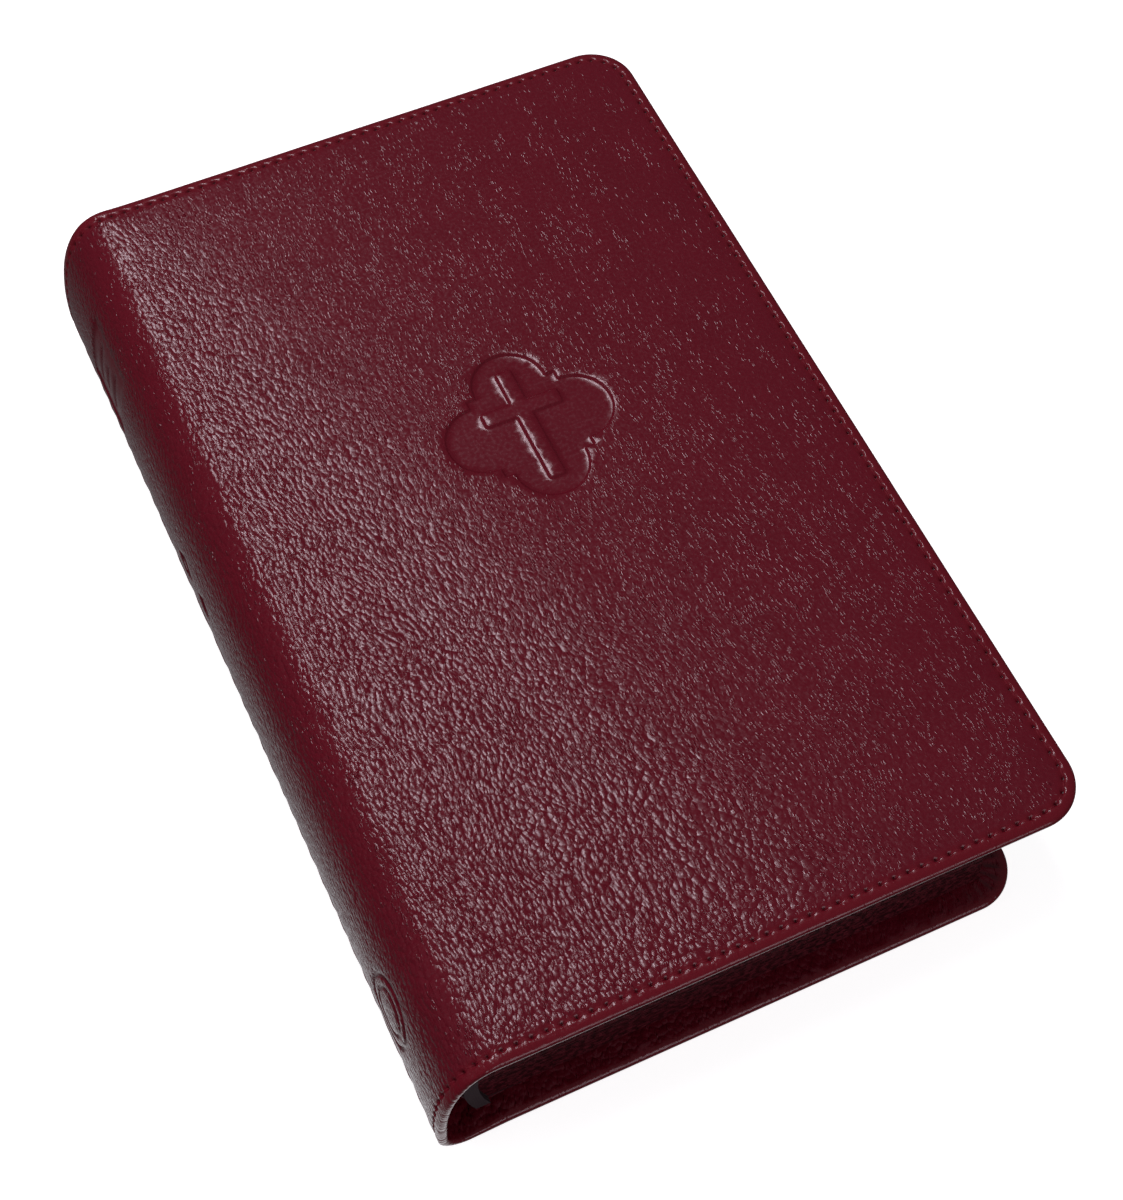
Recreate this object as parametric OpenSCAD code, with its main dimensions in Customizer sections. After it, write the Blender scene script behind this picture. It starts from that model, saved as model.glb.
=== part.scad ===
// Leather-bound prayer book, closed and lying on its back cover.
// X runs from the spine to the fore edge, Y from the tail to the head, Z up through the thickness.
// The origin is under the middle of the closed book, on the face it rests on.

/* [Covers] */
// Height of the covers, tail to head
cover_h = 178; // [150:1:210]
// Width of the front cover, from the shoulder of the spine to the fore edge
front_w = 105.2; // [95:0.1:125]
// How much narrower the back cover is
back_short = 6.2; // [0:0.1:8]
// Thickness of the closed book
book_t = 31.4; // [28:0.1:36]
// Thickness of one finished cover
cover_t = 3; // [2.6:0.1:3.4]
// Radius of the two outer corners of a cover
corner_r = 8.5; // [7:0.5:14]
// How far the round spine stands out behind its shoulder
spine_bulge = 9.5; // [8.5:0.1:11]

/* [Leather] */
// Thickness of the leather over the spine
spine_t = 1.6; // [1.2:0.1:1.8]
// Thickness of the leather and its lining at the hinges of the covers
hinge_t = 2.6; // [2.2:0.1:2.8]
// Thickness of the leather over a board
sheet_t = 1.2; // [1:0.1:1.4]
// Width of the leather turned in round the inside of a cover
turn_in = 6; // [5:0.5:9]
// Distance from one stitch to the next
stitch_pitch = 2.5; // [2:0.1:3.5]
// Distance of the stitching from the edge
stitch_inset = 2.2; // [2:0.1:4]

/* [Boards and paper] */
// Thickness of the stiffening board inside a cover
board_t = 1.3; // [1:0.1:1.5]
// Width of the pages, from the shoulder to the fore edge
page_w = 92.2; // [85:0.1:95]
// How far the covers stand out past the head and tail of the pages
square = 4.6; // [3:0.1:5]
// Thickness of an endpaper flyleaf
flyleaf_t = 0.25; // [0.2:0.01:0.3]
// Thickness of a turning leaf
leaf_t = 0.12; // [0.1:0.01:0.15]
// Distance from the shoulder to the line where the flyleaves bend
gutter = 5; // [4:0.5:6]
// How much further from the shoulder each leaf below bends
leaf_stagger = 0.4; // [0.3:0.1:0.5]
// Air between two pieces that lie on each other
gap = 0.03; // [0.02:0.01:0.05]

/* [Hidden] */
SECTIONS = 16;
LEAVES = 4;
function numbered(name, i) = str(name, "_", i < 10 ? "0" : "", i);

LEATHER = [0.36, 0.09, 0.13];
THREAD = [0.30, 0.04, 0.07];
PAPER = [0.88, 0.84, 0.74];
EDGE = [0.28, 0.06, 0.08];
CLOTH = [0.80, 0.78, 0.72];

// Section of the covers and the spine, drawn with the shoulder of the spine at X 0
centre_x = (front_w - spine_bulge) / 2;
back_w = front_w - back_short;
x_stiff = 7;                            // where the stiff part of a cover starts
x_hinge = -1;                           // line that each cover turns about
top_x = 2;                              // middle of the upper round
top_z = 9;
fullness = 0.85;                        // 1 makes the upper round an ellipse, less makes it squarer
foot_r = 5.5;                           // radius of the lower round
foot_x = foot_r - spine_bulge;
hinge_angle = acos(pow((top_x - x_hinge) / (top_x + spine_bulge), 1 / fullness));

// Layers of a cover, from its outer face inwards
edge_r = cover_t / 2;
paste_t = cover_t - sheet_t - board_t;
board_inset = edge_r + 0.3;
strip_back = 0.6;                       // how far the pastedown's strip starts from the hinge line

// Block of pages: back flyleaf, sections, turning leaves and front flyleaf
block_low = cover_t + 0.1;
block_high = book_t - cover_t - 0.1;
block_mid = (block_low + block_high) / 2;
block_half = (block_high - block_low) / 2;
page_h = cover_h - 2 * square;
sections_low = block_low + flyleaf_t + gap;
leaves_low = block_high - flyleaf_t - gap - LEAVES * (leaf_t + gap);
section_pitch = (leaves_low - sections_low) / SECTIONS;
section_t = section_pitch - gap;
x_back = -1;
round_back = 2.5;
hollow_fore = 1.5;

// Stitches lie in a shallow channel
stitch_l = 0.72 * stitch_pitch;
stitch_w = 0.6;
stitch_h = 0.3;
channel_w = 1.1;
channel_d = 0.35;
STITCH_ANGLES = [5.9, 11.6, 17.9, 24.8, 32.2, 40.3, 49.3, 59.2, 70.2];  // along the upper round

// Four-lobed panel pressed into the front cover round a plain cross
lobe_r = 7;
panel_depth = 0.4;
emblem_x = 53;
emblem_y = cover_h / 2 + 14;
cross_w = 2.4;

function rise(z) = 1 - pow((z - block_mid) / block_half, 2);
function back_x(z) = x_back - round_back * rise(z);
function fore_x(z) = page_w - hollow_fore * rise(z);
// Upper round of the spine at angle a, a given distance under its surface
function upper_round(a, under) =
    [top_x - (top_x + spine_bulge - under) * pow(cos(a), fullness),
     top_z + (book_t - top_z - under) * pow(sin(a), fullness)];
// How far the upper round has turned from the vertical at angle a
function round_turn(a) =
    atan2((book_t - top_z) * pow(cos(a), 2 - fullness), (top_x + spine_bulge) * pow(sin(a), 2 - fullness));
function lower_round(a, under) =
    [foot_x - (foot_r - under) * sin(a), foot_r - (foot_r - under) * cos(a)];
function steps(from, to, count) = [for (i = [0:count]) from + (to - from) * i / count];

// The model is drawn from the shoulder and the tail, then centred
module place() {
    translate([-centre_x, -cover_h / 2, 0]) children();
}

// A long piece with a given X-Z section
module along(y0, y1) {
    translate([0, y1, 0]) rotate([90, 0, 0]) linear_extrude(y1 - y0) children();
}

// Outline of a cover with its edges taken in by inset
module cover_plan(w, inset, x0 = x_stiff) {
    turn_x = w - corner_r;
    translate([x0, inset]) square([turn_x - x0, cover_h - 2 * inset]);
    translate([turn_x - 0.01, corner_r]) square([corner_r - inset + 0.01, cover_h - 2 * corner_r]);
    for (y = [corner_r, cover_h - corner_r])
        translate([turn_x, y]) circle(corner_r - inset, $fn = 96);
}

// Solid blank of a cover, with round edges on its three free sides
module cover_blank(w) {
    turn_x = w - corner_r;
    linear_extrude(cover_t) cover_plan(w, edge_r);
    for (y = [edge_r, cover_h - edge_r])
        translate([x_stiff, y, edge_r]) rotate([0, 90, 0])
            cylinder(h = turn_x - x_stiff, r = edge_r, $fn = 48);
    translate([w - edge_r, corner_r, edge_r]) rotate([-90, 0, 0])
        cylinder(h = cover_h - 2 * corner_r, r = edge_r, $fn = 48);
    for (head = [false, true])
        translate([turn_x, head ? cover_h - corner_r : corner_r, edge_r])
            rotate([0, 0, head ? 0 : -90]) rotate_extrude(angle = 90, $fn = 96)
                translate([corner_r - edge_r, 0]) circle(edge_r, $fn = 48);
}

// Channel for the stitches along the three free sides, cut upwards from the outer face
module stitch_channel(w) {
    translate([0, 0, -1]) difference() {
        linear_extrude(1 + channel_d) cover_plan(w, stitch_inset - channel_w / 2, x_stiff + 0.5);
        translate([0, 0, -1]) linear_extrude(3 + channel_d)
            cover_plan(w, stitch_inset + channel_w / 2, x_stiff);
    }
}

// Leather of a cover, outer face down, turned in round the board and the pastedown
module cover_leather(w) {
    difference() {
        cover_blank(w);
        translate([0, 0, sheet_t]) linear_extrude(board_t) cover_plan(w, board_inset, x_stiff - 1);
        translate([0, 0, sheet_t]) linear_extrude(cover_t) cover_plan(w, turn_in, x_stiff - 1);
        stitch_channel(w);
    }
}

module cover_board(w) {
    translate([0, 0, sheet_t]) linear_extrude(board_t - gap) cover_plan(w, board_inset + gap);
}

// Endpaper glued inside a cover, with the strip that runs back to the pages
module pastedown(w) {
    translate([0, 0, sheet_t + board_t]) linear_extrude(paste_t) cover_plan(w, turn_in + gap);
    translate([x_hinge + strip_back, square, hinge_t])
        cube([x_stiff - x_hinge - strip_back, page_h, cover_t - hinge_t]);
}

module stitch() {
    translate([-stitch_l / 2, -stitch_w / 2, 0]) cube([stitch_l, stitch_w, stitch_h]);
}

module stitch_row(length) {
    count = floor(length / stitch_pitch);
    for (i = [0:count - 1])
        translate([(i + 0.5) * length / count, 0, 0]) stitch();
}

module cover_stitches(w) {
    turn_x = w - corner_r;
    z = channel_d - stitch_h - gap;
    bend_r = corner_r - stitch_inset;
    bends = round(bend_r * PI / 2 / stitch_pitch);
    for (y = [stitch_inset, cover_h - stitch_inset])
        translate([x_stiff + 1, y, z]) stitch_row(turn_x - x_stiff - 1);
    translate([w - stitch_inset, corner_r, z]) rotate(90) stitch_row(cover_h - 2 * corner_r);
    for (head = [false, true], i = [0:bends - 1])
        translate([turn_x, head ? cover_h - corner_r : corner_r, z])
            rotate((head ? 0 : -90) + (i + 0.5) * 90 / bends)
                translate([bend_r, 0, 0]) rotate(90) stitch();
}

// Turns a piece drawn outer face down into the front cover
module as_front() {
    translate([0, cover_h, book_t]) rotate([180, 0, 0]) children();
}

module emblem_plan() {
    difference() {
        union() {
            square(2.5 * lobe_r, center = true);
            for (a = [0:90:270]) rotate(a) translate([1.25 * lobe_r, 0]) circle(lobe_r, $fn = 64);
        }
        square([cross_w, 3.3 * lobe_r], center = true);
        translate([0, lobe_r / 2]) square([2 * lobe_r, cross_w], center = true);
    }
}

// Leather between the upper round of the spine and the stiff part of the front cover
module front_hinge() {
    arc = steps(hinge_angle, 90, 6);
    along(0, cover_h) polygon(concat(
        [for (a = arc) upper_round(a, 0)],
        [[x_stiff, book_t], [x_stiff, book_t - hinge_t]],
        [upper_round(hinge_angle, spine_t)]));
}

module back_hinge() {
    translate([x_hinge, 0, 0]) cube([x_stiff - x_hinge, cover_h, hinge_t]);
}

module front_cover_leather() {
    color(LEATHER) {
        difference() {
            as_front() cover_leather(front_w);
            translate([emblem_x, emblem_y, book_t - panel_depth]) linear_extrude(1) emblem_plan();
        }
        front_hinge();
    }
}
module front_cover_board() { color(CLOTH) as_front() cover_board(front_w); }
module front_pastedown() { color(PAPER) as_front() pastedown(front_w); }
module front_stitching() { color(THREAD) as_front() cover_stitches(front_w); }
module back_cover_leather() {
    color(LEATHER) {
        cover_leather(back_w);
        back_hinge();
    }
}
module back_cover_board() { color(CLOTH) cover_board(back_w); }
module back_pastedown() { color(PAPER) pastedown(back_w); }
module back_stitching() { color(THREAD) cover_stitches(back_w); }

// A band of the spine's section, between two depths under its surface
module spine_band(outer, inner) {
    low = steps(0, 90, 8);
    high = steps(0, hinge_angle, 12);
    polygon(concat(
        [[x_hinge, outer]], [for (a = low) lower_round(a, outer)],
        [for (a = high) upper_round(a, outer)],
        [for (i = [12:-1:0]) upper_round(high[i], inner)],
        [for (i = [8:-1:0]) lower_round(low[i], inner)], [[x_hinge, inner]]));
}

module spine_leather() {
    color(LEATHER) difference() {
        along(0, cover_h) spine_band(0, spine_t);
        for (y = [stitch_inset, cover_h - stitch_inset])
            along(y - channel_w / 2, y + channel_w / 2) spine_band(-1, channel_d);
    }
}

// One row of stitches across the spine at the head and one at the tail
module spine_stitching() {
    under = channel_d - gap;
    color(THREAD) for (y = [stitch_inset, cover_h - stitch_inset]) {
        translate([under - spine_bulge, y, (foot_r + top_z) / 2]) rotate([0, -90, 0]) stitch();
        for (a = STITCH_ANGLES) {
            p = upper_round(a, under);
            translate([p[0], y, p[1]]) rotate([0, -round_turn(a), 0]) stitch();
        }
    }
}

// A thin layer that follows the round back of the pages, between two distances behind them
module back_layer(near, far, y0, y1) {
    levels = steps(sections_low + 0.6, leaves_low - 0.6, 12);
    along(y0, y1) polygon(concat([for (z = levels) [back_x(z) - near, z]],
        [for (i = [12:-1:0]) [back_x(levels[i]) - far, levels[i]]]));
}

module sewing_tapes() {
    color(CLOTH) for (i = [1:4])
        back_layer(0.35, 0.6, square + i * page_h / 5 - 5, square + i * page_h / 5 + 5);
}
module kettle_stitches() {
    color(CLOTH) for (y = [square + 5, cover_h - square - 5])
        back_layer(0.35, 0.6, y - 0.5, y + 0.5);
}
module mull() { color(CLOTH) back_layer(0.65, 0.95, square + 8, cover_h - square - 8); }
module spine_liner() { color(PAPER) back_layer(1, 1.4, square + 1, cover_h - square - 1); }

// Woven band just past the pages at one end of their back
module end_band(y0) {
    color(CLOTH) back_layer(-2.2, 0.3, y0, y0 + 1.3);
}
module head_band() { end_band(cover_h - square + gap); }
module tail_band() { end_band(square - gap - 1.3); }

// A sewn section, from its round fold to the fore edge
module section(z) {
    r = section_t / 2;
    fold_x = back_x(z + r) + r;
    color(EDGE) {
        translate([fold_x, square, z]) cube([fore_x(z + r) - fold_x, page_h, section_t]);
        translate([fold_x, square, z + r]) rotate([-90, 0, 0])
            cylinder(h = page_h, r = r, $fn = 24);
    }
}

// The two parts of a turning sheet: the one that stays in the back and the one that turns
module stub(z, t, bend_x = gutter) {
    translate([back_x(z), square, z]) cube([bend_x - gap - back_x(z), page_h, t]);
}
module turning_sheet(z, t, bend_x = gutter) {
    translate([bend_x, square, z]) cube([fore_x(z) - bend_x, page_h, t]);
}

// Each leaf bends a little further out than the one above it, so that they clear each other
function leaf_z(i) = leaves_low + (i - 1) * (leaf_t + gap);
function leaf_bend(i) = gutter + (LEAVES + 1 - i) * leaf_stagger;
module leaf_stubs() {
    color(PAPER) {
        stub(block_low, flyleaf_t);
        for (i = [1:LEAVES]) stub(leaf_z(i), leaf_t, leaf_bend(i));
        stub(block_high - flyleaf_t, flyleaf_t);
    }
}
module leaf(i) { color(PAPER) turning_sheet(leaf_z(i), leaf_t, leaf_bend(i)); }
module front_flyleaf() { color(PAPER) turning_sheet(block_high - flyleaf_t, flyleaf_t); }
module back_flyleaf() { color(PAPER) turning_sheet(block_low, flyleaf_t); }

place() front_cover_leather();
place() front_cover_board();
place() front_pastedown();
place() front_stitching();
place() back_cover_leather();
place() back_cover_board();
place() back_pastedown();
place() back_stitching();
place() spine_leather();
place() spine_stitching();
place() spine_liner();
place() mull();
place() sewing_tapes();
place() kettle_stitches();
place() head_band();
place() tail_band();
place() leaf_stubs();
place() front_flyleaf();
place() back_flyleaf();
for (i = [1:LEAVES])
    place() leaf(i);
for (i = [1:SECTIONS])
    place() section(sections_low + (i - 1) * section_pitch);
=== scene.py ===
"""The looks of the prayer book: leather skins, stitching, page edges and endpapers round the CAD frame.

Lengths are in millimetres in the tables below and in metres everywhere else. "Flat" coordinates
are those of the leather laid out flat: c runs across the book from the seam on the spine to the
fore edge, y from the tail to the head, and a depth is measured inwards from the outer face.
"""

import math
import random

import bmesh
import bpy
import numpy as np
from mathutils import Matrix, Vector, geometry, noise


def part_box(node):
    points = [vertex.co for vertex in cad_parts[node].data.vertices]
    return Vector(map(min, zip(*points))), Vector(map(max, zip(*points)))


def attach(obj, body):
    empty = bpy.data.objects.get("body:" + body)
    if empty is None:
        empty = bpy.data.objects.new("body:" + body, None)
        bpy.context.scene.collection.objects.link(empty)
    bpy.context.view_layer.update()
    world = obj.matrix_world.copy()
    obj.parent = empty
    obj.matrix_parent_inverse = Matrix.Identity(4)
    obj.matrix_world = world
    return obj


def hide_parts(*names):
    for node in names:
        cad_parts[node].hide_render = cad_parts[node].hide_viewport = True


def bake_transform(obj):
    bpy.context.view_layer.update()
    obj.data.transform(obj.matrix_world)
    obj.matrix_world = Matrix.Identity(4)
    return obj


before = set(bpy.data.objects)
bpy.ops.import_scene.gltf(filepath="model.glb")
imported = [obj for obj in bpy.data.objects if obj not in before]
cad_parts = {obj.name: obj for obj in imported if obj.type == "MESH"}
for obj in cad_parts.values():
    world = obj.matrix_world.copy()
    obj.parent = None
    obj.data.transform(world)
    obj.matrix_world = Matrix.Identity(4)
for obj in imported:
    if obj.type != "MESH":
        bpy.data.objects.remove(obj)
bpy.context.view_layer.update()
MM = 0.001

# ---------------------------------------------------------------- places from the frame
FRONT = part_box("front_cover_leather")
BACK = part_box("back_cover_leather")
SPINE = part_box("spine_leather")
LEFT, HINGE_X = SPINE[0][0], SPINE[1][0]
TOP = FRONT[1][2]
TAIL, HEAD = FRONT[0][1], FRONT[1][1]
HEIGHT = HEAD - TAIL

# ---------------------------------------------------------------- sizes of the binding
SEAM_Z = 7.3 * MM             # height on the spine where the two skins meet
TOP_ROUND = (11.5 * MM, 9 * MM)    # middle of the upper round: in from the spine, and its height
FULLNESS = 0.85               # 1 makes the upper round an ellipse, less makes it squarer
FOOT_R = 5.5 * MM
CORNER_R = 8.5 * MM
SPINE_T = 1.7 * MM
COVER_T = 3.0 * MM
UNDER_BOARD = 1.1 * MM         # depth of the leather's inner face where the board lies on it
STITCH_PITCH = 2.5 * MM
STITCH_INSET = 2.2 * MM
THREAD_R = 0.23 * MM
PER_STITCH = 6                # steps of the rim between two needle holes
RIM_DROP = 0.5 * MM            # how much each face falls away towards a free edge
RIM_REACH = 3.0 * MM
GRAIN_UV = "flat"
MASK = "mask"                 # red: pressed smooth, green: needle hole, where shade is painted, blue: worn rim

# The mesh beside a free edge: distances from it, in millimetres, of the loops on the outer and inner
# faces, and the steps round it
OUTER_LOOPS = [4.2, 3.5, 3.05, 2.7, 2.45, 2.2, 1.95, 1.7, 1.5]
ROUND_STEPS = 10
INNER_LOOPS = [1.9, 2.5, 3.2, 4.0, 4.8, 5.5, 6.0]
# Distance between the points that fill the faces; most of the inner face is out of sight
FRONT_SPACING, BACK_SPACING, INNER_SPACING = 1.3 * MM, 2.6 * MM, 5 * MM
SEAM_POINTS = 112
LOBE_POINTS = 304


def smooth_step(low, high, value):
    t = np.clip((value - low) / (high - low), 0, 1)
    return t * t * (3 - 2 * t)


def waves(points, size, seed):
    """Smooth noise between about -1 and 1 at each (c, y) point; size is its wavelength."""
    return np.array([noise.noise(Vector((c / size, y / size, seed))) for c, y in points])


# ---------------------------------------------------------------- emblem on the front cover
BOOK_MIDDLE = 47.85 * MM      # the frame's X = 0, measured from the shoulder of the pages
EMBLEM_AT = (53 * MM - BOOK_MIDDLE, 14 * MM)
LOBE_R = 7 * MM
LOBE_AT = 1.25 * LOBE_R
PANEL_DEPTH = 0.42 * MM
PANEL_EDGE = 0.6 * MM
CROSS_W = 2.4 * MM
CROSS_BOXES = [(0, 0, CROSS_W / 2, 1.65 * LOBE_R), (0, LOBE_R / 2, LOBE_R, CROSS_W / 2)]


def box_distance(x, y, cx, cy, half_x, half_y):
    dx, dy = np.abs(x - cx) - half_x, np.abs(y - cy) - half_y
    outside = np.hypot(np.maximum(dx, 0), np.maximum(dy, 0))
    return outside + np.minimum(np.maximum(dx, dy), 0)


def lobes_distance(x, y):
    found = box_distance(x, y, 0, 0, LOBE_AT, LOBE_AT)
    for cx, cy in ((LOBE_AT, 0), (-LOBE_AT, 0), (0, LOBE_AT), (0, -LOBE_AT)):
        found = np.minimum(found, np.hypot(x - cx, y - cy) - LOBE_R)
    return found


def cross_distance(x, y):
    return np.minimum(*[box_distance(x, y, *box) for box in CROSS_BOXES])


def panel_distance(x, y):
    """Negative inside the pressed panel, which leaves the cross standing."""
    return np.maximum(lobes_distance(x, y), -cross_distance(x, y))


def outline(distance, reach, count):
    """Points on a star-shaped outline, where distance is 0 along rays from the middle."""
    points = []
    for i in range(count):
        a = 2 * math.pi * i / count
        low, high = 0.0, reach
        for _ in range(26):
            mid = (low + high) / 2
            inside = distance(mid * math.cos(a), mid * math.sin(a)) < 0
            low, high = (mid, high) if inside else (low, mid)
        points.append((low * math.cos(a), low * math.sin(a)))
    return points


def cross_outline(grow):
    """The cross's outline, moved outwards by a given distance."""
    (_, _, w, h), (_, cy, arm, half) = CROSS_BOXES
    w, h, arm, half = w + grow, h + grow, arm + grow, half + grow
    corners = [(w, -h), (w, cy - half), (arm, cy - half), (arm, cy + half), (w, cy + half), (w, h),
               (-w, h), (-w, cy + half), (-arm, cy + half), (-arm, cy - half), (-w, cy - half), (-w, -h)]
    points = []
    for (x0, y0), (x1, y1) in zip(corners, corners[1:] + corners[:1]):
        steps = max(1, round(math.hypot(x1 - x0, y1 - y0) / (0.5 * MM)))
        points += [(x0 + (x1 - x0) * k / steps, y0 + (y1 - y0) * k / steps) for k in range(steps)]
    return points


# ---------------------------------------------------------------- marks pressed into the spine
# Shape, place across and along the flat leather, size, depth and how smooth the leather is there.
# A negative depth brings the leather back up inside the mark before it.
SPINE_MARKS = [
    ("box", 8.8, 153.0, (7.7, 8.1), 0.30, 1.0),
    ("box", 8.8, 156.6, (4.6, 0.55), 0.22, 0.0),
    ("box", 8.8, 153.0, (3.0, 0.45), 0.22, 0.0),
    ("box", 8.8, 149.4, (4.6, 0.55), 0.22, 0.0),
    ("lozenge", 4.6, 112.0, (2.6, 3.6), 0.30, 0.8),
    ("lozenge", 4.6, 112.0, (1.2, 1.8), -0.30, -0.8),
    ("lozenge", 4.6, 103.0, (2.2, 3.0), 0.30, 0.8),
    ("disc", 8.0, 20.0, (6.8,), 0.34, 0.9),
    ("disc", 8.0, 20.0, (6.0,), -0.34, -0.9),
    ("disc", 8.0, 20.0, (4.6,), 0.26, 0.9),
    ("disc", 8.0, 20.0, (4.0,), -0.26, -0.9)]
MARK_EDGE = 0.3 * MM


def mark_distance(shape, size, x, y):
    if shape == "box":
        return box_distance(x, y, 0, 0, size[0] * MM, size[1] * MM)
    if shape == "disc":
        return np.hypot(x, y) - size[0] * MM
    a, b = size[0] * MM, size[1] * MM
    return (np.abs(x) / a + np.abs(y) / b - 1) * a * b / math.hypot(a, b)


def mark_loops():
    loops = []
    for shape, c0, y0, size, _, _ in SPINE_MARKS:
        for step in (0.0, MARK_EDGE):
            ring = outline(lambda x, y: mark_distance(shape, size, x, y) + step, 2 * max(size) * MM,
                           8 * max(6, round(max(size) * 2)))
            loops.append([(x + c0 * MM, y + y0 * MM) for x, y in ring])
    return loops


# ---------------------------------------------------------------- skins
class Skin:
    """One half of the leather: the path of its outer face across the book, laid out flat."""

    def __init__(self, name, front, fore):
        self.name, self.front, self.fore = name, front, fore
        quarter = np.linspace(0, math.pi / 2, 60)
        if front:
            middle = LEFT + TOP_ROUND[0]
            even = np.linspace(0, 1, 200) ** 1.5 * math.pi / 2
            xs = middle - TOP_ROUND[0] * np.maximum(np.cos(even), 0) ** FULLNESS
            zs = TOP_ROUND[1] + (TOP - TOP_ROUND[1]) * np.sin(even) ** FULLNESS
            end_z = TOP
        else:
            xs = LEFT + FOOT_R - FOOT_R * np.cos(quarter)
            zs = FOOT_R - FOOT_R * np.sin(quarter)
            end_z = 0.0
        xs = np.concatenate([[LEFT, LEFT], xs[1:], np.linspace(xs[-1], fore, 40)[1:]])
        zs = np.concatenate([[SEAM_Z, zs[0]], zs[1:], np.full(39, end_z)])
        self.c = np.concatenate([[0], np.cumsum(np.hypot(np.diff(xs), np.diff(zs)))])
        self.x, self.z = xs, zs
        tx, tz = np.gradient(xs, self.c), np.gradient(zs, self.c)
        length = np.hypot(tx, tz)
        side = 1 if front else -1
        self.nx, self.nz = -side * tz / length, side * tx / length
        self.width = self.c[-1]
        self.hinge_c = float(np.interp(HINGE_X, xs[1:], self.c[1:]))
        self.rim()

    def thickness(self, c):
        ramp = smooth_step(self.hinge_c - 5 * MM, self.hinge_c + 5 * MM, c)
        return SPINE_T + (COVER_T - SPINE_T) * ramp

    def stiffness(self, c):
        """0 on the soft spine and 1 on the cover with its board."""
        return smooth_step(self.hinge_c - 6 * MM, self.hinge_c + 8 * MM, c)

    def place(self, c, y, depth):
        """3-D points at flat places (c, y), some depth under the outer face."""
        x, z = np.interp(c, self.c, self.x), np.interp(c, self.c, self.z)
        nx, nz = np.interp(c, self.c, self.nx), np.interp(c, self.c, self.nz)
        return np.stack([x - nx * depth, np.broadcast_to(y + TAIL, x.shape), z - nz * depth], axis=-1)

    def rim(self):
        """Points round the three free edges, with the way inwards and the distance from a hole."""
        turn, high = self.width - CORNER_R, HEIGHT - CORNER_R
        bend = (CORNER_R - STITCH_INSET) * math.pi / 2
        straight = PER_STITCH * round(turn / STITCH_PITCH)
        corner = PER_STITCH * round(bend / STITCH_PITCH)
        fore = PER_STITCH * round((high - CORNER_R) / STITCH_PITCH)
        rows = [(turn * i / straight, 0, 0, 1) for i in range(straight)]
        for i in range(corner):
            a = math.pi / 2 * i / corner
            rows.append((turn + CORNER_R * math.sin(a), CORNER_R - CORNER_R * math.cos(a),
                         -math.sin(a), math.cos(a)))
        rows += [(self.width, CORNER_R + (high - CORNER_R) * i / fore, -1, 0) for i in range(fore)]
        for i in range(corner):
            a = math.pi / 2 * i / corner
            rows.append((turn + CORNER_R * math.cos(a), high + CORNER_R * math.sin(a),
                         -math.cos(a), -math.sin(a)))
        rows += [(turn * (1 - i / straight), HEIGHT, 0, -1) for i in range(straight + 1)]
        self.base = np.array(rows)
        count = len(rows)
        self.run = np.arange(count) * STITCH_PITCH / PER_STITCH
        phase = (np.arange(count) + PER_STITCH / 2) % PER_STITCH - PER_STITCH / 2
        self.from_hole = np.abs(phase) * STITCH_PITCH / PER_STITCH
        self.corner_share = (np.abs(self.base[:, 2] * self.base[:, 3]) > 1e-6).astype(float)
        kernel = np.ones(9) / 9
        self.corner_share = np.convolve(self.corner_share, kernel, mode="same")

    def inset(self, c, y):
        """Distance of a flat place from the nearest free edge."""
        turn = self.width - CORNER_R
        near = np.minimum(np.minimum(y, HEIGHT - y), self.width - c)
        corner_y = np.where(y < HEIGHT / 2, CORNER_R, HEIGHT - CORNER_R)
        outward = np.where(y < HEIGHT / 2, corner_y - y, y - corner_y)
        round_off = CORNER_R - np.hypot(c - turn, outward)
        return np.where((c > turn) & (outward > 0), round_off, near)

    def relief(self, c, y):
        """Depth of the slow hollows and swellings of the outer face, the same for every piece on it."""
        points = np.stack([c, y], axis=-1)
        slow = waves(points, 31 * MM, 3.1 if self.front else 8.4)
        fine = waves(points, 9 * MM, 5.7 if self.front else 2.2)
        thin = RIM_DROP * np.exp(-np.maximum(self.inset(c, y), 0) / RIM_REACH)
        stiff = self.stiffness(c)
        depth = (0.13 + 0.08 * slow + 0.04 * fine) * MM + thin * (0.25 + 0.75 * stiff)
        return depth * smooth_step(0, 12 * MM, c)

    def inner_lift(self, c, s):
        """How much nearer to the outer face the turned-in leather lies beside the rim."""
        stiff = self.stiffness(c)
        return RIM_DROP * stiff * np.exp(-s / RIM_REACH)


def outer_depth(skin, c, y, s, from_hole):
    """Depth of the outer face near the rim: soft edge, stitched groove and needle holes."""
    groove = 0.07 * MM * np.exp(-((s - STITCH_INSET) / (0.55 * MM)) ** 2)
    hole = 0.80 * MM * np.exp(-(from_hole / (0.46 * MM)) ** 2 - ((s - STITCH_INSET) / (0.30 * MM)) ** 2)
    return skin.relief(c, y) + groove + hole


def pleats(skin, s):
    """How far the turned-in leather stands up in creases across the edge."""
    run = skin.run[:, None]
    fine = waves(np.stack([skin.run, skin.run * 0], axis=-1), 1.3 * MM, 1.5)[:, None]
    broad = waves(np.stack([skin.run, skin.run * 0], axis=-1), 3.4 * MM, 6.5)[:, None]
    tucks = np.abs(np.sin(run * math.pi / (2.1 * MM))) - 0.6
    corner = skin.corner_share[:, None]
    share = 0.05 if skin.front else 0.24    # the back cover's turn-in is creased more
    height = share * (fine + 0.75 * broad) * (1 - corner) + 0.42 * tucks * corner
    window = smooth_step(0.3 * MM, 1.4 * MM, s) * (1 - smooth_step(3.6 * MM, 4.6 * MM, s))
    return height * MM * window


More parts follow.
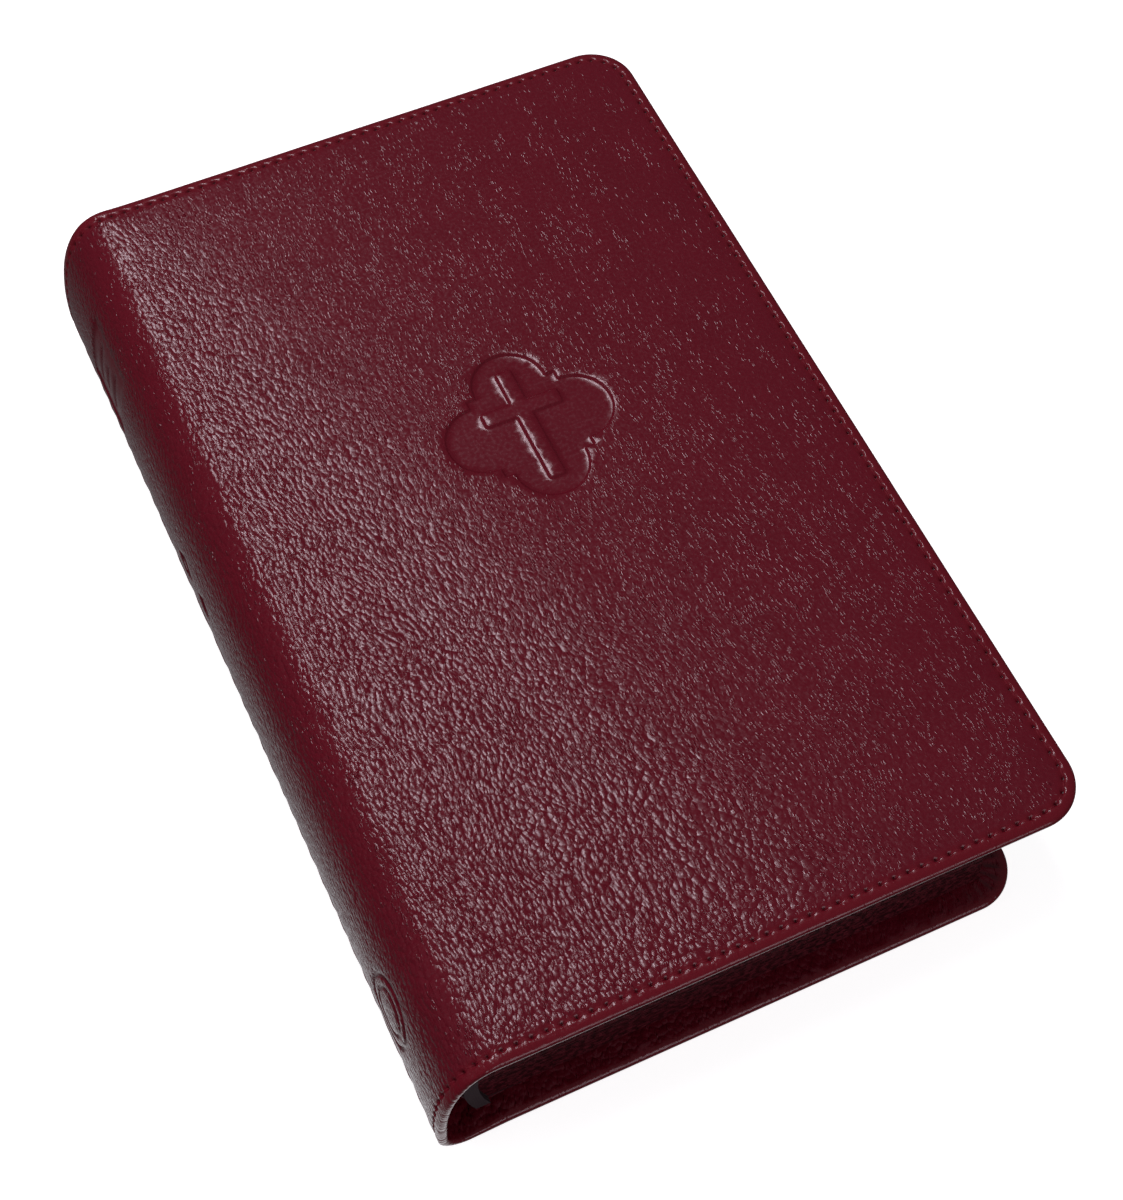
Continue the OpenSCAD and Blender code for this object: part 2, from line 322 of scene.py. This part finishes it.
def add_layers(mesh, skin, table):
    """The mask colours and the flat UVs that the leather's material reads."""
    colour = mesh.color_attributes.new(MASK, "FLOAT_COLOR", "POINT")
    values = np.concatenate([table[:, 3:6], np.ones((len(table), 1))], axis=1)
    colour.data.foreach_set("color", values.astype(np.float32).ravel())
    layer = mesh.uv_layers.new(name=GRAIN_UV)
    corners = np.empty(len(mesh.loops), dtype=np.int32)
    mesh.loops.foreach_get("vertex_index", corners)
    side = 1 if skin.front else -1
    uv = np.stack([side * table[:, 0], table[:, 1]], axis=-1)[corners]
    layer.data.foreach_set("uv", (uv / (100 * MM)).astype(np.float32).ravel())


def skin_mesh(skin, spacing, loops=()):
    """A closed leather shell: outer face, round edge, turn-in and inner face."""
    base_c, base_y, in_c, in_y = skin.base.T
    rows = []
    r = skin.thickness(base_c) / 2

    def rim_row(s, depth, smooth=0.0, hole=0.0, worn=0.0):
        c, y = base_c + in_c * s, base_y + in_y * s
        rows.append((c, y, depth, np.broadcast_to(smooth, c.shape), np.broadcast_to(hole, c.shape),
                     np.broadcast_to(worn, c.shape)))

    for s in [v * MM for v in OUTER_LOOPS]:
        c, y = base_c + in_c * s, base_y + in_y * s
        depth = outer_depth(skin, c, y, s, skin.from_hole)
        # The green mask marks the needle holes, where the leather's material paints shade
        hole = np.exp(-(skin.from_hole / (0.5 * MM)) ** 2 - ((s - STITCH_INSET) / (0.3 * MM)) ** 2)
        rim_row(s, depth, hole=hole, worn=1 - float(smooth_step(2.0 * MM, 3.6 * MM, s)))
    start = skin.relief(base_c, base_y)
    for k in range(1, ROUND_STEPS + 1):
        a = math.pi * k / ROUND_STEPS
        s = 0.8 * r * (1 - math.sin(a) ** 0.8)
        end = 2 * r - skin.inner_lift(base_c, s)
        depth = start + (end - start) * (1 - math.cos(a)) / 2
        rim_row(s, depth, worn=1.0)
    for s in [v * MM for v in INNER_LOOPS]:
        lift = skin.inner_lift(base_c, s) + pleats(skin, np.full((len(r), 1), s))[:, 0]
        rim_row(s, 2 * r - lift)

    columns = [np.stack(row, axis=-1) for row in rows]
    patches = [flat_patch(skin, columns[0], spacing, True, loops),
               flat_patch(skin, columns[-1], INNER_SPACING, False)]
    bm = bmesh.new()
    store = []

    def add_points(table):
        c, y, depth = table[:, 0], table[:, 1], table[:, 2]
        made = [bm.verts.new(p) for p in skin.place(c, y, depth)]
        store.append(table)
        return made

    rim_verts = [add_points(column) for column in columns]
    for a, b in zip(rim_verts, rim_verts[1:]):
        for k in range(len(a) - 1):
            bm.faces.new((a[k], a[k + 1], b[k + 1], b[k]))
    for table, triangles, rim in ((*patches[0], rim_verts[0]), (*patches[1], rim_verts[-1])):
        own = add_points(table[len(rim):])
        verts = rim + own
        for tri in triangles:
            corners = [verts[k] for k in tri]
            if len(set(corners)) == 3:
                bm.faces.new(corners)
    open_edges = [e for e in bm.edges if e.is_boundary]
    bmesh.ops.holes_fill(bm, edges=open_edges, sides=0)
    bmesh.ops.recalc_face_normals(bm, faces=bm.faces)
    mesh = bpy.data.meshes.new(skin.name)
    bm.to_mesh(mesh)
    bm.free()
    table = np.concatenate(store)
    add_layers(mesh, skin, table)
    mesh.polygons.foreach_set("use_smooth", np.ones(len(mesh.polygons), dtype=bool))
    piece = bpy.data.objects.new(skin.name, mesh)
    bpy.context.collection.objects.link(piece)
    return piece


def flat_patch(skin, rim, spacing, outer, loops=()):
    """The face inside the rim, as a triangulation of scattered points that keeps the drawn outlines."""
    rng = np.random.default_rng(11 if outer else 12)
    edge = (OUTER_LOOPS[0] if outer else INNER_LOOPS[-1]) * MM
    seam = [(0.0, y) for y in np.linspace(HEIGHT - edge, edge, SEAM_POINTS)[1:-1]]
    fixed = [tuple(p) for p in rim[:, :2]] + seam
    edges = [(k, (k + 1) % len(fixed)) for k in range(len(fixed))]
    for loop in loops:
        first = len(fixed)
        fixed += loop
        edges += [(first + k, first + (k + 1) % len(loop)) for k in range(len(loop))]
    panels = skin_panels(skin) if outer else []
    row_count, column_count = int(HEIGHT / (spacing * 0.87)), int(skin.width / spacing)
    j, i = np.meshgrid(np.arange(row_count), np.arange(column_count), indexing="ij")
    shake = rng.uniform(-0.15, 0.15, (2,) + i.shape) * spacing
    c = (i + 0.5 + (j % 2) / 2) * spacing + shake[0]
    y = (j + 0.5) * HEIGHT / row_count + shake[1]
    wanted = (skin.inset(c, y) > edge + 0.5 * spacing) & (c > 0.6 * spacing)
    for panel, _, _, width in panels:
        wanted &= np.abs(panel(c, y) + width / 2) > 0.5 * spacing
    loose = list(zip(c[wanted].tolist(), y[wanted].tolist()))
    points = fixed + loose
    out = geometry.delaunay_2d_cdt([Vector(p) for p in points], edges, [], 1, 1e-7, True)
    faces, origins = out[2], out[3]
    index = [o[0] if o else -1 for o in origins]
    triangles = [[index[k] for k in face] for face in faces]
    table = np.zeros((len(points), 6))
    table[:len(rim)] = rim
    rest = np.array(points[len(rim):])
    c, y = rest[:, 0], rest[:, 1]
    if outer:
        depth = skin.relief(c, y)
        smooth = np.zeros(len(c))
        for panel, how_deep, polish, width in panels:
            pressed = smooth_step(0, width, -panel(c, y))
            depth = depth + how_deep * pressed
            smooth = smooth + polish * pressed
    else:
        stiff = smooth_step(skin.hinge_c + 1 * MM, skin.hinge_c + 8 * MM, c)
        depth = SPINE_T + (UNDER_BOARD - SPINE_T) * stiff
        smooth = np.full(len(c), 0.3)
    table[len(rim):, 0], table[len(rim):, 1] = c, y
    table[len(rim):, 2], table[len(rim):, 3] = depth, smooth
    return table, triangles


def emblem_place(skin):
    """The middle of the emblem on the flat leather."""
    return skin.width - (skin.fore - EMBLEM_AT[0]), EMBLEM_AT[1] - TAIL


def skin_panels(skin):
    """The pressed marks of a skin: distance, depth, smoothness and width of the lip."""
    if not skin.front:
        return []
    shift_c, shift_y = emblem_place(skin)
    panels = [(lambda c, y: panel_distance(c - shift_c, y - shift_y), PANEL_DEPTH, 0.0, PANEL_EDGE),
              (lambda c, y: lobes_distance(c - shift_c, y - shift_y), 0.0, 1.0, PANEL_EDGE)]
    for shape, c0, y0, size, how_deep, polish in SPINE_MARKS:
        panels.append((lambda c, y, shape=shape, size=size, c0=c0, y0=y0:
                       mark_distance(shape, size, c - c0 * MM, y - y0 * MM),
                       how_deep * MM, polish, MARK_EDGE))
    return panels


def emblem_loops(skin):
    """The panel's lip and the cross's lip, each as rings from the leather down to the pressed floor."""
    shift_c, shift_y = emblem_place(skin)
    loops = []
    for share in (0.0, 0.35, 0.65, 1.0):
        step = share * PANEL_EDGE
        lobes = outline(lambda x, y: lobes_distance(x, y) + step, 3 * LOBE_R, LOBE_POINTS)
        loops += [lobes, cross_outline(step)]
    return [[(x + shift_c, y + shift_y) for x, y in loop] for loop in loops]


def thread_mesh(skin, name):
    """Stitches that lie in the groove and dip into the needle holes at both ends."""
    radius, sides = THREAD_R, 6
    c, y = skin.base[:, 0] + skin.base[:, 2] * STITCH_INSET, skin.base[:, 1] + skin.base[:, 3] * STITCH_INSET
    under = skin.relief(c, y)

    def spot(k, on, down):
        return Vector(skin.place(c[k:k + 1] + on, y[k:k + 1], under[k] + down)[0])

    bm = bmesh.new()
    for first in range(0, len(c) - PER_STITCH, PER_STITCH):
        steps = range(first, first + PER_STITCH + 1)
        rings = []
        for k in steps:
            share = (k - first) / PER_STITCH
            dip = 0.22 * MM + 0.62 * MM * abs(2 * share - 1) ** 3
            here = spot(k, 0, 0)
            centre = spot(k, 0, dip)
            up = (spot(k, 0, -1e-5) - here).normalized()
            along_c = (spot(k, 1e-5, 0) - here).normalized()
            across_flat = Vector((skin.base[k, 2], skin.base[k, 3]))
            across = along_c * across_flat.x + Vector((0, 1, 0)) * across_flat.y
            size = radius * (0.75 + 0.25 * math.sin(math.pi * share))
            rings.append([bm.verts.new(centre + size * (math.cos(t) * across + math.sin(t) * up))
                          for t in (2 * math.pi * m / sides for m in range(sides))])
        for a, b in zip(rings, rings[1:]):
            for m in range(sides):
                n = (m + 1) % sides
                bm.faces.new((a[m], a[n], b[n], b[m]))
        bm.faces.new(rings[0][::-1])
        bm.faces.new(rings[-1])
    bmesh.ops.recalc_face_normals(bm, faces=bm.faces)
    return finish_mesh(bm, name)


def finish_mesh(bm, name, smooth=True):
    mesh = bpy.data.meshes.new(name)
    bm.to_mesh(mesh)
    bm.free()
    mesh.polygons.foreach_set("use_smooth", np.full(len(mesh.polygons), smooth))
    piece = bpy.data.objects.new(name, mesh)
    bpy.context.collection.objects.link(piece)
    return piece


# ---------------------------------------------------------------- materials
class Tree:
    """A material's node tree, with short ways to add and join nodes."""

    def __init__(self, name):
        self.material = bpy.data.materials.new(name)
        self.material.use_nodes = True
        self.nodes = self.material.node_tree.nodes
        self.links = self.material.node_tree.links
        self.shader = self.nodes["Principled BSDF"]

    def add(self, kind, inputs=None, **settings):
        node = self.nodes.new("ShaderNode" + kind)
        for key, value in settings.items():
            setattr(node, key, value)
        for key, value in (inputs or {}).items():
            self.join(value, node.inputs[key])
        return node

    def join(self, value, socket):
        if isinstance(value, bpy.types.NodeSocket):
            self.links.new(value, socket)
        else:
            socket.default_value = value

    def math(self, operation, a, b=0.0):
        return self.add("Math", {0: a, 1: b}, operation=operation).outputs[0]

    def ramp(self, value, low, high, to_low=0.0, to_high=1.0):
        node = self.add("MapRange", {"Value": value, "From Min": low, "From Max": high,
                                     "To Min": to_low, "To Max": to_high},
                        interpolation_type="SMOOTHSTEP")
        return node.outputs["Result"]

    def mix(self, share, a, b):
        node = self.add("Mix", {"Factor": share}, data_type="RGBA")
        self.join(a, node.inputs["A"])
        self.join(b, node.inputs["B"])
        return node.outputs["Result"]

    def shape(self, vector, scale):
        return self.add("VectorMath", {0: vector, 1: scale}, operation="MULTIPLY").outputs[0]

    def noise(self, vector, scale, detail=2.0):
        return self.add("TexNoise", {"Vector": vector, "Scale": scale, "Detail": detail}).outputs["Fac"]

    def cells(self, vector, scale):
        """Distance from the middle of the nearest cell."""
        return self.add("TexVoronoi", {"Vector": vector, "Scale": scale}, feature="F1").outputs["Distance"]

    def bump(self, height, distance):
        node = self.add("Bump", {"Height": height, "Distance": distance, "Strength": 1.0})
        self.join(node.outputs["Normal"], self.shader.inputs["Normal"])

    def set(self, **values):
        for key, value in values.items():
            self.join(value, self.shader.inputs[key.replace("_", " ")])


def rgb(red, green, blue):
    return (red, green, blue, 1.0)


def leather():
    """Glossy burgundy leather: long fine dashes all over, with coarse pebbles by the spine.

    A UV unit is 100 mm of the flat leather, across and along the book.
    """
    t = Tree("burgundy_leather")
    uv = t.add("UVMap", uv_map=GRAIN_UV).outputs["UV"]
    mask = t.add("SeparateColor", {"Color": t.add("Attribute", attribute_name=MASK).outputs["Color"]})
    pressed, hole, worn = mask.outputs["Red"], mask.outputs["Green"], mask.outputs["Blue"]
    place = t.add("SeparateXYZ", {"Vector": uv})
    across, along = place.outputs["X"], place.outputs["Y"]
    # the grain leans a little near the fore edge and wanders everywhere
    lean = t.ramp(t.math("ABSOLUTE", across), 0.45, 1.2, 0.0, 0.10)
    lean = t.math("MULTIPLY", lean, t.ramp(along, 0.0, 1.3, 1.0, 0.0))
    slide = t.math("MULTIPLY", lean, t.math("SUBTRACT", along, 1.3))
    drift = t.add("TexNoise", {"Vector": uv, "Scale": 5.0, "Detail": 2.0}).outputs["Color"]
    drift = t.add("VectorMath", {0: drift, 1: (0.5, 0.5, 0.5)}, operation="SUBTRACT").outputs[0]
    bent = t.add("VectorMath", {0: uv, 1: t.shape(drift, (0.05, 0.05, 0.0))}, operation="ADD").outputs[0]
    slid = t.add("CombineXYZ", {"X": slide}).outputs[0]
    bent = t.add("VectorMath", {0: bent, 1: slid}, operation="ADD").outputs[0]
    # three sizes of grain, weighed by how far they are from the spine's tail
    far = t.ramp(t.math("ADD", t.math("ABSOLUTE", across), t.math("MULTIPLY", along, 0.35)), 0.3, 1.6)
    dashes = t.ramp(t.cells(t.shape(bent, (1.0, 0.28, 1.0)), 230.0), 0.02, 0.42, 1.0, 0.0)
    specks = t.ramp(t.cells(t.shape(bent, (1.0, 0.50, 1.0)), 210.0), 0.02, 0.40, 1.0, 0.0)
    pebbles = t.math("POWER", t.cells(t.shape(bent, (1.0, 0.75, 1.0)), 118.0), 2.0)
    pebbles = t.math("MULTIPLY", pebbles, t.ramp(far, 0.05, 0.75, -0.95, -0.15))
    patchy = t.ramp(t.noise(uv, 14.0, 2.0), 0.36, 0.64, 0.55, 1.15)
    dashes = t.math("MULTIPLY", dashes, t.ramp(far, 0.45, 1.1, 0.58, 0.34))
    height = t.math("ADD", dashes, t.math("MULTIPLY", specks, 0.14))
    chains = t.ramp(t.noise(t.shape(bent, (1.0, 0.10, 1.0)), 70.0, 2.0), 0.40, 0.60, 0.35, 1.25)
    height = t.math("MULTIPLY", t.math("MULTIPLY", height, patchy), chains)
    height = t.math("ADD", height, pebbles)
    height = t.math("ADD", height, t.math("MULTIPLY", t.noise(uv, 30.0, 2.0), 0.35))
    # calmer at the far corner, and where the leather is pressed or worn
    quiet = t.ramp(t.math("MULTIPLY", t.math("ABSOLUTE", across), along), 0.6, 1.5, 1.0, 0.62)
    size = t.math("MULTIPLY", t.ramp(far, 0.2, 1.0, 1.1, 1.0), quiet)
    calm = t.math("MULTIPLY", t.ramp(pressed, 0.0, 1.0, 1.0, 0.05), t.ramp(worn, 0.0, 1.0, 1.0, 0.35))
    height = t.math("MULTIPLY", t.math("MULTIPLY", height, size), calm)
    t.bump(height, 0.00020)
    colour = t.mix(t.noise(uv, 9.0, 3.0), rgb(0.130, 0.0036, 0.0130), rgb(0.160, 0.0054, 0.0172))
    colour = t.mix(t.math("MULTIPLY", worn, 0.35), colour, rgb(0.215, 0.0065, 0.0145))
    # Painted shade: the needle holes are coloured nearly black to stand for the shade inside them
    colour = t.mix(t.ramp(hole, 0.25, 0.8), colour, rgb(0.006, 0.0005, 0.001))
    rough = t.ramp(t.noise(uv, 160.0), 0.3, 0.7, 0.17, 0.30)
    t.set(Base_Color=colour, Roughness=rough)
    t.shader.inputs["Specular IOR Level"].default_value = 0.5
    return t.material


def thread():
    """Waxed thread with a twist."""
    t = Tree("waxed_thread")
    where = t.add("TexCoord").outputs["Object"]
    twist = t.noise(where, 3000.0, 2.0)
    t.bump(twist, 0.00005)
    t.set(Base_Color=t.mix(twist, rgb(0.10, 0.004, 0.010), rgb(0.24, 0.010, 0.024)), Roughness=0.6)
    t.shader.inputs["Specular IOR Level"].default_value = 0.2
    return t.material


def page_edges():
    """Edges of the pages: burgundy stain over the fine lines of the sheets."""
    t = Tree("stained_page_edges")
    where = t.add("TexCoord").outputs["Object"]
    lines = t.noise(t.shape(where, (25.0, 25.0, 5200.0)), 1.0, 2.0)
    blotch = t.ramp(t.noise(where, 900.0, 3.0), 0.40, 0.62)
    t.bump(t.math("ADD", lines, t.math("MULTIPLY", blotch, 0.5)), 0.00008)
    colour = t.mix(blotch, rgb(0.022, 0.0018, 0.0035), rgb(0.185, 0.0240, 0.0360))
    colour = t.mix(t.ramp(lines, 0.35, 0.7), colour, rgb(0.070, 0.0050, 0.0095))
    t.set(Base_Color=colour, Roughness=0.6)
    t.shader.inputs["Specular IOR Level"].default_value = 0.12
    return t.material


def paper(name="cream_paper", tint=(0.80, 0.74, 0.60), stain_from=None):
    """Laid paper; beyond stain_from, along the height of the book, it carries the stain of the edges."""
    t = Tree(name)
    where = t.add("TexCoord").outputs["Object"]
    fibre = t.noise(where, 1400.0, 4.0)
    cloud = t.noise(where, 90.0, 3.0)
    t.bump(fibre, 0.00003)
    dark = rgb(*[0.9 * v for v in tint])
    colour = t.mix(t.math("MULTIPLY", t.math("ADD", fibre, cloud), 0.5), dark, rgb(*tint))
    if stain_from:
        height = t.math("ABSOLUTE", t.add("SeparateXYZ", {"Vector": where}).outputs["Y"])
        colour = t.mix(t.ramp(height, stain_from, stain_from + 0.0002), colour, rgb(0.05, 0.004, 0.008))
    t.set(Base_Color=colour, Roughness=0.85)
    return t.material


def woven(name, one, two, scale):
    """Cloth of crossing threads, between two colours."""
    t = Tree(name)
    where = t.add("TexCoord").outputs["Object"]
    warp = t.add("TexWave", {"Vector": where, "Scale": scale, "Distortion": 0.6}, bands_direction="Y")
    weft = t.add("TexWave", {"Vector": where, "Scale": scale, "Distortion": 0.6}, bands_direction="Z")
    cloth = t.math("MULTIPLY", warp.outputs["Fac"], weft.outputs["Fac"])
    t.bump(cloth, 0.0001)
    t.set(Base_Color=t.mix(cloth, rgb(*one), rgb(*two)), Roughness=0.9)
    return t.material


def board():
    """Grey board of pressed fibres."""
    t = Tree("grey_board")
    where = t.add("TexCoord").outputs["Object"]
    fibre = t.noise(where, 700.0, 5.0)
    t.bump(fibre, 0.00008)
    t.set(Base_Color=t.mix(fibre, rgb(0.20, 0.16, 0.12), rgb(0.34, 0.29, 0.22)), Roughness=0.9)
    return t.material


STAIN = 0.7 * MM              # how far the edges' stain has crept on to the pages
LEATHER = leather()
THREAD = thread()
EDGES = page_edges()
PAPER = paper()
STAINED_PAPER = paper("stained_paper", stain_from=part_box("section_01")[1][1] - STAIN)
BOARD = board()
KRAFT = paper("kraft_paper", (0.10, 0.045, 0.050))
MULL = woven("mull_cloth", (0.05, 0.02, 0.025), (0.14, 0.08, 0.085), 900.0)
TAPE = woven("linen_tape", (0.45, 0.42, 0.34), (0.75, 0.71, 0.60), 1400.0)
BAND = woven("band_silk", (0.020, 0.006, 0.009), (0.085, 0.060, 0.066), 500.0)


def dress(name, material):
    """Gives a CAD node that stays in view its own material."""
    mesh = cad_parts[name].data
    mesh.materials.clear()
    mesh.materials.append(material)


# ---------------------------------------------------------------- pages
SHEETS = 8                    # sheets in a stack that stands for a section
LEAF_SHEETS = 1
GUTTER_BEND = 7 * MM          # width of the strip by the gutter where a leaf's mesh is denser
RNG = random.Random(5)


def sheets_mesh(name, low, high, count, cream=True):
    """A stack of sheets inside a box, each cut a little apart; without cream, all its faces are stained."""
    step = (high[2] - low[2]) / count
    bm = bmesh.new()
    for k in range(count):
        z0, z1 = low[2] + step * k, low[2] + step * (k + (1.0 if count == 1 else 0.94))
        jut = [RNG.uniform(0, 0.07 * MM) for _ in range(3)]
        x0, x1 = low[0], high[0] - jut[0]
        y0, y1 = low[1] + jut[1], high[1] - jut[2]
        along = list(np.linspace(x0, x0 + 2 * GUTTER_BEND, 20)) if cream and count == LEAF_SHEETS else [x0]
        along += list(np.linspace(along[-1], x1 - STAIN, 20))[1:] + [x1]
        across = (y0, y0 + STAIN, y1 - STAIN, y1)
        bottom = [[bm.verts.new((x, y, z0)) for x in along] for y in across]
        top = [[bm.verts.new((x, y, z1)) for x in along] for y in across]
        for i in range(len(along) - 1):
            for j in range(3):
                clean = cream and j == 1 and i < len(along) - 2
                above = bm.faces.new((top[j][i], top[j][i + 1], top[j + 1][i + 1], top[j + 1][i]))
                below = bm.faces.new((bottom[j + 1][i], bottom[j + 1][i + 1], bottom[j][i + 1], bottom[j][i]))
                above.material_index = 0 if clean and k == count - 1 else 1
                below.material_index = 0 if clean and k == 0 else 1
            bm.faces.new((bottom[0][i], bottom[0][i + 1], top[0][i + 1], top[0][i])).material_index = 1
            bm.faces.new((top[3][i], top[3][i + 1], bottom[3][i + 1], bottom[3][i])).material_index = 1
        for i, order in ((0, 1), (-1, -1)):
            for j in range(3):
                ring = (bottom[j][i], top[j][i], top[j + 1][i], bottom[j + 1][i])
                bm.faces.new(ring[::order]).material_index = 1
    piece = finish_mesh(bm, name, smooth=False)
    piece.data.materials.append(PAPER)
    piece.data.materials.append(EDGES)
    return piece


def nodes_named(start):
    return sorted(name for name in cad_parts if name.startswith(start))


# ---------------------------------------------------------------- assembly
front = Skin("front_leather", True, FRONT[1][0])
back = Skin("back_leather", False, BACK[1][0])

front_piece = skin_mesh(front, FRONT_SPACING, emblem_loops(front) + mark_loops())
front_piece.data.materials.append(LEATHER)
back_piece = skin_mesh(back, BACK_SPACING)
back_piece.data.materials.append(LEATHER)
front_thread = thread_mesh(front, "front_thread")
front_thread.data.materials.append(THREAD)
back_thread = thread_mesh(back, "back_thread")
back_thread.data.materials.append(THREAD)

for piece in (front_piece, front_thread):
    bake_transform(piece)
for piece in (back_piece, back_thread):
    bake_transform(piece)
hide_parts("front_cover_leather", "spine_leather")
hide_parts("back_cover_leather")
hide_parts("front_stitching", "spine_stitching")
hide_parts("back_stitching")

for name in nodes_named("section_"):
    low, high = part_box(name)
    outermost = name in (nodes_named("section_")[0], nodes_named("section_")[-1])
    block = sheets_mesh(name.replace("section", "sheets"), low, high, SHEETS, outermost)
    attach(block, "text_block")
    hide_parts(name)
for name in nodes_named("leaf_0") + ["front_flyleaf", "back_flyleaf"]:
    low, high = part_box(name)
    sheet = sheets_mesh(name + "_sheet", low, high, LEAF_SHEETS)
    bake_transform(sheet)
    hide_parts(name)

dress("leaf_stubs", STAINED_PAPER)
dress("front_pastedown", STAINED_PAPER)
dress("back_pastedown", STAINED_PAPER)
dress("front_cover_board", BOARD)
dress("back_cover_board", BOARD)
dress("spine_liner", KRAFT)
dress("mull", MULL)
dress("sewing_tapes", TAPE)
dress("kettle_stitches", TAPE)
dress("head_band", BAND)
dress("tail_band", BAND)


# ---------------------------------------------------------------- studio
FLOOR_Z = -0.4 * MM
# Brightness of the surroundings by direction, from straight down (0) to straight up (1)
WORLD_STOPS = ((0.0, 1.50), (0.05, 0.50), (0.12, 0.11), (0.30, 0.04), (0.50, 0.06), (1.0, 0.11))
# Name, place, size, power and whether the leather shows its reflection
LAMPS = (("key", (-0.09, 0.42, 0.86), (0.13, 0.80), 4.3, True),
         ("left_fill", (-0.90, 0.10, 0.45), (0.6, 0.6), 2.0, False),
         ("tail_fill", (0.10, -0.90, 0.30), (0.6, 0.4), 1.6, True))
LAMP_COLOUR = (1.0, 0.88, 0.97)


def floor():
    """A pale floor that neither shows in the gloss nor throws its own light on the book."""
    bpy.ops.mesh.primitive_plane_add(size=6, location=(0, 0, FLOOR_Z))
    plane = bpy.context.object
    plane.name = "floor"
    t = Tree("pale_floor")
    t.set(Base_Color=rgb(0.80, 0.80, 0.80), Roughness=0.9)
    t.shader.inputs["Emission Color"].default_value = rgb(1.0, 1.0, 1.0)
    t.shader.inputs["Emission Strength"].default_value = 0.86
    plane.data.materials.append(t.material)
    plane.visible_glossy = False
    plane.visible_diffuse = False


def surroundings():
    """A world whose brightness depends only on the height of the direction."""
    world = bpy.data.worlds.new("studio")
    world.use_nodes = True
    nodes, links = world.node_tree.nodes, world.node_tree.links
    where = nodes.new("ShaderNodeTexCoord")
    parts = nodes.new("ShaderNodeSeparateXYZ")
    links.new(where.outputs["Generated"], parts.inputs[0])
    ramp = nodes.new("ShaderNodeValToRGB")
    shift = nodes.new("ShaderNodeMapRange")
    shift.inputs["From Min"].default_value = -1.0
    links.new(parts.outputs["Z"], shift.inputs["Value"])
    links.new(shift.outputs["Result"], ramp.inputs["Fac"])
    ramp.color_ramp.elements[0].position, ramp.color_ramp.elements[1].position = 0.0, 1.0
    for position, _ in WORLD_STOPS[1:-1]:
        ramp.color_ramp.elements.new(position)
    for element, (_, light) in zip(ramp.color_ramp.elements, WORLD_STOPS):
        element.color = rgb(0.97 * light, 0.97 * light, light)
    links.new(ramp.outputs["Color"], nodes["Background"].inputs["Color"])
    bpy.context.scene.world = world


def lamps():
    """Soft rectangular lights, all aimed at the book."""
    for name, at, size, power, shows in LAMPS:
        data = bpy.data.lights.new(name, "AREA")
        data.shape = "RECTANGLE"
        data.size, data.size_y = size
        data.energy = power
        data.color = LAMP_COLOUR
        lamp = bpy.data.objects.new(name, data)
        lamp.location = at
        lamp.rotation_euler = (-Vector(at)).to_track_quat("-Z", "Y").to_euler()
        lamp.visible_glossy = shows
        bpy.context.collection.objects.link(lamp)


def camera():
    """The camera fitted to the outline of the closed book."""
    data = bpy.data.cameras.new("camera")
    data.sensor_width = 36.0
    data.lens = 67.79
    eye = bpy.data.objects.new("camera", data)
    eye.location = (-0.0925, -0.1864, 0.3563)
    eye.rotation_euler = [math.radians(v) for v in (29.956, -1.619, -25.018)]
    bpy.context.collection.objects.link(eye)
    bpy.context.scene.camera = eye


floor()
surroundings()
lamps()
camera()
bpy.context.scene.view_settings.view_transform = "Standard"
